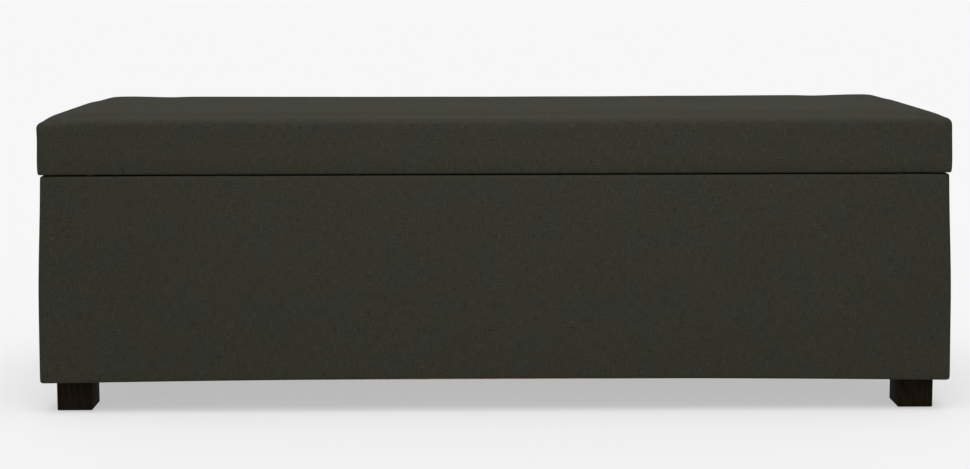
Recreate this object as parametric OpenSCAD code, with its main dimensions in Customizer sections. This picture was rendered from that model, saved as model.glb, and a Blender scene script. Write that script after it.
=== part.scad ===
// Upholstered storage bench: a fabric-covered box on four wooden feet, with a
// padded lid on three butt hinges and a slotted stay at each end.
// Millimetres. Origin on the floor under the middle of the lid.
// +X along the length, +Y to the back, +Z up.

/* [Bench] */
// Length of the lid from end to end
lid_l = 1400; // [1000:10:1700]
// Depth of the lid from front to back
lid_d = 440; // [360:5:540]
// Height of the covered box, without feet or lid
base_h = 320; // [260:1:400]
// Height of the feet, glides included
foot_h = 47; // [30:1:80]
// Thickness of the upholstered lid
lid_h = 87.5; // [60:0.5:120]
// Overhang of the lid past the box at the front and at each end
lid_overhang = 4; // [1:0.5:10]
// Height of the shadow gap between box and lid
seam_gap = 4; // [3.6:0.1:6]

/* [Fabric and padding] */
// Thickness of the cover fabric
cover_t = 1.2; // [0.8:0.1:2]
// Thickness of the wadding on the box walls
wadding_t = 5; // [3:0.5:8]
// Thickness of the wadding around the lid
lid_wadding_t = 6; // [4:0.5:10]
// Thickness of the storage lining
lining_t = 1; // [0.6:0.1:2]
// Thickness of the dust cover and of the lid lining
backing_t = 0.5; // [0.3:0.1:1]
// Outer radius of the upright corners of the box
corner_r = 8; // [6.5:0.5:14]
// Outer radius of the upright corners of the lid
lid_corner_r = 12; // [8:0.5:20]
// Rise of the long lower edges at mid-length
hem_rise = 5; // [0:0.5:10]
// Width of the cover turned under the lid
lid_hem_w = 75; // [65:1:120]

/* [Carcass] */
// Thickness of the four wall panels
panel_t = 15; // [12:0.5:20]
// Thickness of the floor panel
floor_t = 12; // [6:0.5:18]
// Thickness of the lid board
lid_board_t = 15; // [12:0.5:20]
// Side of the square corner posts
post_w = 20; // [15:1:24]
// Height of the ledgers and foot blocks under the floor panel
ledger_h = 20; // [18:1:30]
// Width of the ledgers
ledger_w = 20; // [15:1:30]
// Side of the square foot blocks
foot_block_w = 90; // [80:1:120]

/* [Feet] */
// Side of the square feet
foot_w = 54; // [40:1:70]
// Distance from the box's face to the foot's face
foot_inset = 18.4; // [15:0.1:40]
// Radius of the hanger bolts
foot_bolt_r = 4; // [3:0.5:5]
// Depth of the hanger bolt in the foot
foot_bolt_depth = 30; // [20:1:34]
// Radius of the glides
glide_r = 12; // [8:1:16]
// Thickness of the glides
glide_t = 3; // [2:0.5:5]
// Height of the glides that shows below the feet
glide_show = 1.5; // [0.5:0.5:2.5]

/* [Hinges] */
// Length of each butt hinge
hinge_l = 60; // [40:1:90]
// Distance from the lid's end to the middle of the outer hinges
hinge_inset = 240; // [120:5:400]
// Thickness of the hinge leaves
leaf_t = 1.6; // [1.2:0.1:1.7]
// Outer radius of the knuckles
knuckle_r = 4; // [3.5:0.1:5]
// Radius of the hinge pins
hinge_pin_r = 2; // [1.5:0.1:2.5]
// Radial running clearance of the pins
pin_clearance = 0.05; // [0.02:0.01:0.1]
// Spacing of the screws along each hinge leaf
hinge_screw_pitch = 20; // [12:1:25]

/* [Lid stays] */
// Least distance left between the stay arm's lower end and the storage floor
stay_floor_clear = 5; // [2:0.5:60]
// Least distance left between the stay arm's lower end and the lining of the rear posts
stay_post_clear = 2; // [1:0.1:12]
// Opening angle of the lid
open_angle = 95; // [80:1:100]
// Angle of the arm pivot below the hinge pin, lid closed
pivot_drop = 6.2; // [5.5:0.1:8]
// Angle of the stud below the hinge pin
stud_drop = 25; // [22:0.5:30]
// Width of the stay arm
arm_w = 20; // [16:1:26]
// Thickness of the stay's steel strip
strip_t = 2; // [1.5:0.1:2.5]
// Gap between neighbouring strips of the stay
strip_gap = 0.4; // [0.3:0.1:0.8]
// Radius of the stud and of the pivot rivet
stud_r = 3; // [2:0.1:4]
// Clearance on each side of the stud in its slot
slot_clearance = 0.2; // [0.1:0.05:0.4]

/* [Hidden] */
$fn = 48;
eps = 0.01;          // overshoot of cutting tools
fit = 0.05;          // clearance around screws, bolts and nuts in their holes
screw_r = 1.6;       // shank of every wood screw
screw_head_r = 3.2;  // countersunk head
screw_sink_h = 1.2;  // height of the head's cone
screw_tip_l = 3;     // length of the pointed end
far = 20;            // reach of cutting tools past the piece they cut

// Box: outer size and the levels of its layers
base_l = lid_l - 2 * lid_overhang;
base_d = lid_d - lid_overhang;
base_y = lid_overhang / 2;             // the box's middle: its back is flush with the lid's
base_back = base_y + base_d / 2;
base_z = foot_h + backing_t;
base_top = base_z + base_h;
wall_z = base_z + cover_t;
wall_top = base_top - cover_t;
skin_t = cover_t + wadding_t;
frame_l = base_l - 2 * skin_t;
frame_d = base_d - 2 * skin_t;
inner_l = frame_l - 2 * panel_t;
inner_d = frame_d - 2 * panel_t;
floor_z = base_z + ledger_h;
floor_top = floor_z + floor_t;
rim_w = skin_t + panel_t;

// Lid: levels of its layers
lid_z = base_top + seam_gap;
board_z = lid_z + cover_t;
foam_z = board_z + lid_board_t;
lid_top = lid_z + lid_h;
foam_h = lid_top - cover_t - lid_wadding_t - foam_z;
lid_skin_t = cover_t + lid_wadding_t;
board_l = lid_l - 2 * lid_skin_t;
board_d = lid_d - 2 * lid_skin_t;
lining_inset = lid_hem_w - 13;

// Feet: centres and bolt levels
foot_x = base_l / 2 - foot_inset - foot_w / 2;
foot_y = base_d / 2 - foot_inset - foot_w / 2;
nut_barrel_r = foot_bolt_r + 1;
nut_flange_r = foot_bolt_r + 7;
nut_flange_t = 1.5;
nut_h = 12;
foot_bolt_top = floor_z - nut_flange_t - 1;

// Hinge line
knuckle_gap = 0.6;                     // from the covers' back faces to the knuckles
knuckle_side_gap = 0.2;                // between neighbouring knuckles
hinge_y = base_back + knuckle_gap + knuckle_r;
hinge_z = base_top + seam_gap / 2;
knuckles = 5;
knuckle_l = hinge_l / knuckles;
leaf_screw_y = base_back - skin_t - panel_t / 2;
hinge_xs = [-(lid_l / 2 - hinge_inset), 0, lid_l / 2 - hinge_inset];
leaf_screw_l = 18;                     // screws into the rim
lid_screw_l = 12;                      // screws into the lid board

// Stay: the pivot and the stud are equally far from the hinge pin, so the arm
// turns half as fast as the lid
pivot_span = stud_drop - pivot_drop;
slot_near = 2 * sin(pivot_span / 2);                   // shares of the pivot distance
slot_far = 2 * sin((pivot_span + open_angle) / 2);
arm_tilt = 90 - (stud_drop + pivot_drop) / 2;          // arm below the horizontal, lid closed
arm_end = arm_w / 2 + 2;                               // arm past the slot's far end
// The pivot's distance from the hinge pin is the middle of two bounds: the least,
// at which the arm's end just clears the rear posts, and the most, at which it
// just clears the floor
end_past = arm_end - arm_w / 2;                        // end circle's centre past the slot
post_front = base_y + inner_d / 2 - post_w - lining_t; // front of the rear posts' lining
stay_run = hinge_y + end_past * cos(arm_tilt) + arm_w / 2 + stay_post_clear - post_front;
stay_drop = hinge_z - floor_top - lining_t - stay_floor_clear
    - end_past * sin(arm_tilt) - arm_w / 2;
pivot_dist_min = stay_run / (cos(pivot_drop) - slot_far * cos(arm_tilt));
pivot_dist_max = stay_drop / (sin(pivot_drop) + slot_far * sin(arm_tilt));
pivot_dist = (pivot_dist_min + pivot_dist_max) / 2;
pivot_y = hinge_y - pivot_dist * cos(pivot_drop);
pivot_z = hinge_z - pivot_dist * sin(pivot_drop);
stud_y = hinge_y - pivot_dist * cos(stud_drop);
stud_z = hinge_z - pivot_dist * sin(stud_drop);
arm_reach = slot_far * pivot_dist + arm_end;
stay_x = inner_l / 2 - lining_t;       // inner face of the end linings
bracket_in = strip_t + strip_gap;      // layers of the stay, measured inwards from there
arm_in = bracket_in + strip_t + strip_gap;
head_in = arm_in + strip_t + strip_gap / 2;
head_t = 1.8;
head_r = stud_r + 3.5;
bracket_w = 44;
bracket_foot = 26;
bracket_screw_pitch = 26;
plate_w = 30;
plate_h = 54;
plate_screw_pitch = 38;
plate_screw_l = 12;

bumper_r = 6;
bumper_gap = 0.1;                      // from a bumper to the rim below it
bumper_xs = [-0.44, -0.15, 0.15, 0.44];  // shares of the length

CORNERS = [[-1, -1], [1, -1], [-1, 1], [1, 1]];

// ---- Shared shapes ----

// Block centred in X and Y, from z to z + h
module block(l, d, h, y = 0, z = 0) {
    translate([-l / 2, y - d / 2, z]) cube([l, d, h]);
}

// Block with round upright corners
module rounded_block(l, d, h, r, y = 0, z = 0) {
    translate([0, y, z]) linear_extrude(h) {
        square([l - 2 * r, d], center = true);
        square([l, d - 2 * r], center = true);
        for (c = CORNERS) translate([c[0] * (l / 2 - r), c[1] * (d / 2 - r)]) circle(r);
    }
}

// Block with a square notch at each corner
module notched_block(l, d, h, notch, y = 0, z = 0) {
    translate([0, y, z]) linear_extrude(h) {
        square([l - 2 * notch, d], center = true);
        square([l, d - 2 * notch], center = true);
    }
}

// Height of the long lower edges above their ends
function hem_arch(x) = hem_rise * (1 - pow(2 * x / base_l, 2));

// Everything below a long lower edge that starts at height z, front and back
module below_hem(z) {
    steps = 24;
    xs = [for (i = [0 : steps]) base_l * (i / steps - 0.5)];
    edge = [for (x = xs) [x, z + hem_arch(x)]];
    for (side = [-1, 1])
        translate([0, base_y + side * (base_d / 2 + far) + (side > 0 ? 0 : rim_w + far), 0])
            rotate([90, 0, 0]) linear_extrude(rim_w + far)
                polygon(concat([[-base_l / 2, z - far]], edge, [[base_l / 2, z - far]]));
}

// Rod along X
module rod(r, l, x = 0, y = 0, z = 0) {
    translate([x - l / 2, y, z]) rotate([0, 90, 0]) cylinder(r = r, h = l);
}

// Countersunk wood screw pointing down from its head's flat top at the origin
module wood_screw(l) {
    rotate_extrude() polygon([
        [0, 0], [screw_head_r, 0], [screw_r, -screw_sink_h], [screw_r, -l + screw_tip_l], [0, -l]
    ]);
}

// Room for a screw in the pieces that it holds
module screw_hole(l) {
    translate([0, 0, -l - 1]) cylinder(r = screw_r + fit, h = l + 1 + eps);
}

// Room for a screw's head in the plate that it passes
module screw_sink() {
    top_r = screw_head_r + fit;
    rotate_extrude() polygon([
        [0, eps], [top_r, eps], [top_r, 0], [screw_r + fit, -screw_sink_h],
        [screw_r + fit, -far / 2], [0, -far / 2]
    ]);
}

// ---- Places ----

module at_hinge_screws(z) {
    for (x = hinge_xs, i = [-1, 0, 1]) translate([x + i * hinge_screw_pitch, leaf_screw_y, z]) children();
}

// Children stand on their heads under the lid
module at_bracket_screws(side) {
    x = side * (stay_x - bracket_in - bracket_foot / 2 - strip_t / 2);
    for (i = [-1, 1])
        translate([x, pivot_y + i * bracket_screw_pitch / 2, lid_z - strip_t]) rotate([180, 0, 0]) children();
}

// Children point outwards through the plate into the end panel
module at_plate_screws(side) {
    for (i = [-1, 1])
        translate([side * (stay_x - strip_t), stud_y, stud_z + i * plate_screw_pitch / 2])
            rotate([0, side * -90, 0]) children();
}

// ---- Carcass ----

module long_panel(side) {
    color("burlywood") difference() {
        block(frame_l, panel_t, wall_top - wall_z, base_y + side * (frame_d - panel_t) / 2, wall_z);
        below_hem(wall_z);
        if (side > 0) at_hinge_screws(base_top + leaf_t) screw_hole(leaf_screw_l);
    }
}

module side_panel(side) {
    color("burlywood") difference() {
        translate([side * (frame_l - panel_t) / 2, 0, 0])
            block(panel_t, inner_d, wall_top - wall_z, base_y, wall_z);
        at_plate_screws(side) screw_hole(plate_screw_l);
    }
}

module front_panel() { long_panel(-1); }
module rear_panel() { long_panel(1); }
module left_side_panel() { side_panel(-1); }
module right_side_panel() { side_panel(1); }

module floor_panel() {
    color("tan") block(inner_l, inner_d, floor_t, base_y, floor_z);
}

module corner_post(c) {
    color("peru") translate([c[0] * (inner_l - post_w) / 2, c[1] * (inner_d - post_w) / 2, 0])
        block(post_w, post_w, wall_top - floor_top, base_y, floor_top);
}

module long_ledger(side) {
    color("peru")
        block(inner_l - 2 * foot_block_w, ledger_w, ledger_h, base_y + side * (inner_d - ledger_w) / 2, base_z);
}

module side_ledger(side) {
    color("peru") translate([side * (inner_l - ledger_w) / 2, 0, 0])
        block(ledger_w, inner_d - 2 * foot_block_w, ledger_h, base_y, base_z);
}

module ledger_front() { long_ledger(-1); }
module ledger_rear() { long_ledger(1); }
module ledger_left() { side_ledger(-1); }
module ledger_right() { side_ledger(1); }

module foot_block(c) {
    color("peru") difference() {
        translate([c[0] * (inner_l - foot_block_w) / 2, c[1] * (inner_d - foot_block_w) / 2, 0])
            block(foot_block_w, foot_block_w, ledger_h, base_y, base_z);
        translate([c[0] * foot_x, base_y + c[1] * foot_y, 0]) {
            translate([0, 0, base_z - eps]) cylinder(r = nut_barrel_r + fit, h = ledger_h + 2 * eps);
            translate([0, 0, floor_z - nut_flange_t - fit])
                cylinder(r = nut_flange_r + fit, h = nut_flange_t + fit + eps);
        }
    }
}

// ---- Feet and their fixings ----

module at_feet() {
    for (c = CORNERS) translate([c[0] * foot_x, base_y + c[1] * foot_y, 0]) children();
}

module foot(c) {
    color("#3a2a1e") translate([c[0] * foot_x, base_y + c[1] * foot_y, 0]) difference() {
        block(foot_w, foot_w, foot_h - glide_show, 0, glide_show);
        translate([0, 0, glide_show - eps]) cylinder(r = glide_r + fit, h = glide_t - glide_show + eps);
        translate([0, 0, foot_h - foot_bolt_depth]) cylinder(r = foot_bolt_r + fit, h = foot_bolt_depth + eps);
    }
}

module foot_bolts() {
    bottom = foot_h - foot_bolt_depth + 1;
    color("silver") at_feet() translate([0, 0, bottom]) cylinder(r = foot_bolt_r, h = foot_bolt_top - bottom);
}

module foot_tee_nuts() {
    color("silver") at_feet() difference() {
        union() {
            translate([0, 0, floor_z - nut_h]) cylinder(r = nut_barrel_r, h = nut_h);
            translate([0, 0, floor_z - nut_flange_t]) cylinder(r = nut_flange_r, h = nut_flange_t);
        }
        translate([0, 0, floor_z - nut_h - eps]) cylinder(r = foot_bolt_r + fit, h = nut_h + 2 * eps);
    }
}

module foot_glides() {
    color("dimgray") at_feet() cylinder(r = glide_r, h = glide_t);
}

// ---- Padding and fabric of the box ----

// Space inside the cover: wadding, walls and storage
module cover_inside() {
    difference() {
        rounded_block(base_l - 2 * cover_t, base_d - 2 * cover_t, wall_top - wall_z, corner_r - cover_t,
                      base_y, wall_z);
        below_hem(wall_z);
    }
}

module base_wadding() {
    difference() {
        cover_inside();
        block(frame_l, frame_d, base_h + 2 * far, base_y, base_z - far);
    }
}

module long_wadding(side) {
    color("whitesmoke") intersection() {
        base_wadding();
        block(base_l, wadding_t, base_h, base_y + side * (frame_d + wadding_t) / 2, base_z);
    }
}

module side_wadding(side) {
    color("whitesmoke") intersection() {
        base_wadding();
        translate([side * (frame_l + wadding_t) / 2, 0, 0]) block(wadding_t, frame_d, base_h, base_y, base_z);
    }
}

module wadding_front() { long_wadding(-1); }
module wadding_rear() { long_wadding(1); }
module wadding_left() { side_wadding(-1); }
module wadding_right() { side_wadding(1); }

// The storage space's outline inside its lining, between the posts
module storage(h, z) {
    notched_block(inner_l - 2 * lining_t, inner_d - 2 * lining_t, h, post_w, base_y, z);
}

module base_cover() {
    color("#30302a") difference() {
        rounded_block(base_l, base_d, base_h, corner_r, base_y, base_z);
        below_hem(base_z);
        cover_inside();
        storage(far, wall_top - far / 2);
        block(inner_l, inner_d, far, base_y, base_z - far / 2);
        at_hinge_screws(base_top + leaf_t) screw_hole(leaf_screw_l);
    }
}

module storage_lining() {
    color("gray") difference() {
        notched_block(inner_l, inner_d, wall_top - floor_top, post_w, base_y, floor_top);
        storage(base_h, floor_top + lining_t);
        for (side = [-1, 1]) at_plate_screws(side) screw_hole(plate_screw_l);
    }
}

module dust_cover() {
    inset = rim_w + 2;
    color("#202020") difference() {
        block(base_l - 2 * inset, base_d - 2 * inset, backing_t, base_y, foot_h);
        at_feet() translate([0, 0, foot_h - eps]) cylinder(r = foot_bolt_r + fit, h = backing_t + 2 * eps);
    }
}

// ---- Lid ----

module lid_board() {
    color("burlywood") difference() {
        block(board_l, board_d, lid_board_t, 0, board_z);
        at_hinge_screws(lid_z - leaf_t) rotate([180, 0, 0]) screw_hole(lid_screw_l);
        for (side = [-1, 1]) at_bracket_screws(side) screw_hole(lid_screw_l);
    }
}

module lid_foam() {
    color("khaki") block(board_l, board_d, foam_h, 0, foam_z);
}

module lid_wadding() {
    top = lid_top - cover_t;
    color("whitesmoke") difference() {
        rounded_block(lid_l - 2 * cover_t, lid_d - 2 * cover_t, top - board_z, lid_corner_r - cover_t, 0, board_z);
        block(board_l, board_d, foam_z + foam_h - board_z + eps, 0, board_z - eps);
    }
}

module lid_cover() {
    color("#33332c") difference() {
        rounded_block(lid_l, lid_d, lid_h, lid_corner_r, 0, lid_z);
        rounded_block(lid_l - 2 * cover_t, lid_d - 2 * cover_t, lid_h - 2 * cover_t, lid_corner_r - cover_t,
                      0, board_z);
        block(lid_l - 2 * lid_hem_w, lid_d - 2 * lid_hem_w, far, 0, lid_z - far / 2);
        at_hinge_screws(lid_z - leaf_t) rotate([180, 0, 0]) screw_hole(lid_screw_l);
        for (side = [-1, 1]) at_bracket_screws(side) screw_hole(lid_screw_l);
    }
}

module lid_lining() {
    color("#202020")
        block(lid_l - 2 * lining_inset, lid_d - 2 * lining_inset, backing_t, 0, lid_z - backing_t);
}

module lid_bumpers() {
    y = base_y - base_d / 2 + rim_w / 2;
    color("#1a1a1a") for (share = bumper_xs)
        translate([share * lid_l, y, base_top + bumper_gap]) cylinder(r = bumper_r, h = seam_gap - bumper_gap);
}

// ---- Hinges ----

// Knuckles from the first one, every other one, each with its web to the leaf
module knuckle_row(first, web_z) {
    for (k = [first : 2 : knuckles - 1]) {
        x = (k - (knuckles - 1) / 2) * knuckle_l;
        rod(knuckle_r, knuckle_l - knuckle_side_gap, x, hinge_y, hinge_z);
        translate([x, 0, 0])
            block(knuckle_l - knuckle_side_gap, 2 * knuckle_r, leaf_t, hinge_y - knuckle_r, web_z);
    }
}

// Leaf from z up to z + leaf_t, with its share of the knuckles
module leaf(first, z) {
    difference() {
        union() {
            difference() {
                translate([0, 0, z]) block(hinge_l, hinge_y - base_back + rim_w, leaf_t,
                                           (hinge_y + base_back - rim_w) / 2);
                rod(knuckle_r + 0.4, hinge_l + far, 0, hinge_y, hinge_z);
            }
            knuckle_row(first, z);
        }
        rod(hinge_pin_r + pin_clearance, hinge_l + far, 0, hinge_y, hinge_z);
    }
}

module base_leaf(x) {
    color("silver") difference() {
        translate([x, 0, 0]) leaf(0, base_top);
        at_hinge_screws(base_top + leaf_t) screw_sink();
    }
}

module lid_leaf(x) {
    color("silver") difference() {
        translate([x, 0, 0]) leaf(1, lid_z - leaf_t);
        at_hinge_screws(lid_z - leaf_t) rotate([180, 0, 0]) screw_sink();
    }
}

module hinge_pin(x) {
    color("silver") rod(hinge_pin_r, hinge_l, x, hinge_y, hinge_z);
}

module hinge_base_screws() {
    color("silver") at_hinge_screws(base_top + leaf_t) wood_screw(leaf_screw_l);
}

module hinge_lid_screws() {
    color("silver") at_hinge_screws(lid_z - leaf_t) rotate([180, 0, 0]) wood_screw(lid_screw_l);
}

// ---- Lid stays ----

// Children drawn in the stay's plane, seen from the left end, become a strip
// that starts a given distance inwards from the end lining
module strip(side, inwards, t = strip_t) {
    near = stay_x - inwards;
    translate([side > 0 ? near - t : -near, 0, 0]) rotate([90, 0, 90]) linear_extrude(t) children();
}

// Arm's outline with its slot: the pivot is at the origin, the slot runs along +X
module arm_outline() {
    slot_start = slot_near * pivot_dist;
    slot_end = slot_far * pivot_dist;
    half = stud_r + slot_clearance;
    difference() {
        union() {
            circle(arm_w / 2);
            translate([0, -arm_w / 2]) square([arm_reach - arm_w / 2, arm_w]);
            translate([arm_reach - arm_w / 2, 0]) circle(arm_w / 2);
        }
        circle(stud_r + pin_clearance);
        translate([slot_start, -half]) square([slot_end - slot_start, 2 * half]);
        for (s = [slot_start, slot_end]) translate([s, 0]) circle(half);
    }
}

module stay_arm(side) {
    color("silver") strip(side, arm_in) translate([pivot_y, pivot_z]) rotate(-arm_tilt) arm_outline();
}

module stay_bracket(side) {
    ear = arm_w / 2;
    foot_x0 = stay_x - bracket_in - bracket_foot;
    color("silver") difference() {
        union() {
            strip(side, bracket_in) {
                translate([pivot_y, pivot_z]) circle(ear);
                translate([pivot_y - ear, pivot_z]) square([2 * ear, lid_z - strip_t - pivot_z]);
                translate([pivot_y - bracket_w / 2, lid_z - 2 * strip_t]) square([bracket_w, 2 * strip_t]);
            }
            translate([side > 0 ? foot_x0 : -foot_x0 - bracket_foot, pivot_y - bracket_w / 2, lid_z - strip_t])
                cube([bracket_foot, bracket_w, strip_t]);
        }
        rod(stud_r + fit, far, side * (stay_x - bracket_in - strip_t / 2), pivot_y, pivot_z);
        at_bracket_screws(side) screw_sink();
    }
}

// Headed rod through the strips of a stay, from one distance inwards to another
module headed_rod(side, from, to, y, z) {
    rod(stud_r, to - from, side * (stay_x - (from + to) / 2), y, z);
    rod(head_r, head_t, side * (stay_x - to - head_t / 2), y, z);
}

module stay_rivet(side) {
    tail_t = 1.2;
    color("gray") {
        headed_rod(side, bracket_in, head_in, pivot_y, pivot_z);
        rod(head_r - 1, tail_t, side * (stay_x - bracket_in + tail_t / 2), pivot_y, pivot_z);
    }
}

module stay_plate(side) {
    color("silver") difference() {
        strip(side, 0) translate([stud_y, stud_z]) square([plate_w, plate_h], center = true);
        rod(stud_r + fit, far, side * (stay_x - strip_t / 2), stud_y, stud_z);
        at_plate_screws(side) screw_sink();
    }
}

module stay_stud(side) {
    collar = arm_in - strip_t - strip_gap / 2;
    color("gray") {
        headed_rod(side, 0, head_in, stud_y, stud_z);
        rod(head_r - 1, collar, side * (stay_x - strip_t - collar / 2), stud_y, stud_z);
    }
}

module stay_plate_screws() {
    color("silver") for (side = [-1, 1]) at_plate_screws(side) wood_screw(plate_screw_l);
}

module stay_bracket_screws() {
    color("silver") for (side = [-1, 1]) at_bracket_screws(side) wood_screw(lid_screw_l);
}

// ---- Nodes ----

front_panel();
rear_panel();
left_side_panel();
right_side_panel();
floor_panel();
corner_post([-1, -1]);  // corner_post_front_left
corner_post([1, -1]);  // corner_post_front_right
corner_post([-1, 1]);  // corner_post_rear_left
corner_post([1, 1]);  // corner_post_rear_right
ledger_front();
ledger_rear();
ledger_left();
ledger_right();
foot_block([-1, -1]);  // foot_block_front_left
foot_block([1, -1]);  // foot_block_front_right
foot_block([-1, 1]);  // foot_block_rear_left
foot_block([1, 1]);  // foot_block_rear_right
foot([-1, -1]);  // foot_front_left
foot([1, -1]);  // foot_front_right
foot([-1, 1]);  // foot_rear_left
foot([1, 1]);  // foot_rear_right
foot_bolts();
foot_tee_nuts();
foot_glides();
dust_cover();
wadding_front();
wadding_rear();
wadding_left();
wadding_right();
base_cover();
storage_lining();
lid_board();
lid_foam();
lid_wadding();
lid_cover();
lid_lining();
lid_bumpers();
base_leaf(hinge_xs[0]);  // hinge_left_base_leaf
lid_leaf(hinge_xs[0]);  // hinge_left_lid_leaf
hinge_pin(hinge_xs[0]);  // hinge_left_pin
base_leaf(hinge_xs[1]);  // hinge_middle_base_leaf
lid_leaf(hinge_xs[1]);  // hinge_middle_lid_leaf
hinge_pin(hinge_xs[1]);  // hinge_middle_pin
base_leaf(hinge_xs[2]);  // hinge_right_base_leaf
lid_leaf(hinge_xs[2]);  // hinge_right_lid_leaf
hinge_pin(hinge_xs[2]);  // hinge_right_pin
hinge_base_screws();
hinge_lid_screws();
stay_arm(-1);  // stay_left_arm
stay_bracket(-1);  // stay_left_bracket
stay_rivet(-1);  // stay_left_rivet
stay_plate(-1);  // stay_left_plate
stay_stud(-1);  // stay_left_stud
stay_arm(1);  // stay_right_arm
stay_bracket(1);  // stay_right_bracket
stay_rivet(1);  // stay_right_rivet
stay_plate(1);  // stay_right_plate
stay_stud(1);  // stay_right_stud
stay_plate_screws();
stay_bracket_screws();
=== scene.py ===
"""An upholstered storage bench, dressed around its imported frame.

Lengths are in metres, in the frame's own axes: +X along the bench, +Y to the
back and +Z up, with the floor at zero.
"""

import logging
import math
import random
from collections.abc import Callable, Iterable
from dataclasses import dataclass, field, replace
from enum import Enum

import bmesh
import bpy
from mathutils import Matrix, Vector, noise


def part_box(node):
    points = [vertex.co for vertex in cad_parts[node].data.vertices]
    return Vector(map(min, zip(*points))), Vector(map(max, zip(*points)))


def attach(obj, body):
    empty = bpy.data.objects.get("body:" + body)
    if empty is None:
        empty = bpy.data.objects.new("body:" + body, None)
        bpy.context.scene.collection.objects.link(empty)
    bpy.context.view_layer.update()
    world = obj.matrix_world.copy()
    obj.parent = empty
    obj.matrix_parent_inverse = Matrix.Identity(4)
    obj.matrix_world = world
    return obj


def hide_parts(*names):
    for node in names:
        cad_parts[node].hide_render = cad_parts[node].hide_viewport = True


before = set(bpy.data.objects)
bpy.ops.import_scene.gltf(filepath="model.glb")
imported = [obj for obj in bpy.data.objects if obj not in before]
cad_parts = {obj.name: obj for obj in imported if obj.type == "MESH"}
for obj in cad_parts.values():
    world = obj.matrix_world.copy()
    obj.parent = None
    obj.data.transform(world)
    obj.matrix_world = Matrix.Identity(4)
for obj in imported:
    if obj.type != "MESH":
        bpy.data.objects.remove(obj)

log = logging.getLogger("bench")

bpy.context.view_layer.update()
CLOTH_MAP = "cloth"
FEET = [f"foot_{end}_{side}" for end in ("front", "rear") for side in ("left", "right")]

Triple = tuple[float, float, float]
Pair = tuple[float, float]
SpotTest = Callable[[Vector], bool]


class Axis(Enum):
    """The frame's axes, as a direction of grain, brushing or cutting."""

    X = 0
    Y = 1
    Z = 2

    def direction(self) -> Vector:
        """The unit vector along this axis."""
        return Vector(tuple(float(i == self.value) for i in range(3)))

    def stretched(self, along: float, across: float) -> Triple:
        """Scales for a pattern that runs along this axis.

        Args:
            along: scale along the axis.
            across: scale on the two other axes.

        Returns:
            The three scales, X first.
        """
        return tuple(along if i == self.value else across for i in range(3))


# ---- Shader nodes ----


class Signal:
    """A node's output, on which arithmetic adds Math nodes."""

    def __init__(
        self, sheet: "NodeSheet", socket: bpy.types.NodeSocket | None
    ) -> None:
        """Wraps one output.

        Args:
            sheet: the node sheet that the output is on.
            socket: the output itself, or None for a node without outputs.
        """
        self.sheet = sheet
        self.socket = socket

    def output(self, which: int | str) -> "Signal":
        """Another output of the same node."""
        return Signal(self.sheet, self.socket.node.outputs[which])

    def math(self, operation: str, *values: "Signal | float") -> "Signal":
        """The result of a Math node.

        Args:
            operation: the node's operation.
            *values: its inputs in order.

        Returns:
            The node's output.
        """
        return self.sheet.node(
            "ShaderNodeMath", {"operation": operation}, dict(enumerate(values))
        )

    def __add__(self, other: "Signal | float") -> "Signal":
        """This plus other."""
        return self.math("ADD", self, other)

    def __radd__(self, other: float) -> "Signal":
        """A number plus this."""
        return self.math("ADD", other, self)

    def __sub__(self, other: "Signal | float") -> "Signal":
        """This less other."""
        return self.math("SUBTRACT", self, other)

    def __rsub__(self, other: float) -> "Signal":
        """A number less this."""
        return self.math("SUBTRACT", other, self)

    def __mul__(self, other: "Signal | float") -> "Signal":
        """This times other."""
        return self.math("MULTIPLY", self, other)

    def __rmul__(self, other: float) -> "Signal":
        """A number times this."""
        return self.math("MULTIPLY", other, self)

    def __abs__(self) -> "Signal":
        """This without its sign."""
        return self.math("ABSOLUTE", self)

    def sine(self) -> "Signal":
        """The sine of this, in radians."""
        return self.math("SINE", self)

    def rise(self, low: float, high: float) -> "Signal":
        """A smooth step.

        Args:
            low: the value that gives 0.
            high: the value that gives 1; it may be the lower of the two.

        Returns:
            The eased signal, held between 0 and 1.
        """
        first, last = (low, high) if low < high else (high, low)
        eased = self.sheet.node(
            "ShaderNodeMapRange",
            {"interpolation_type": "SMOOTHSTEP"},
            {0: self, 1: first, 2: last},
        )
        return eased if low < high else 1.0 - eased


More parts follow.
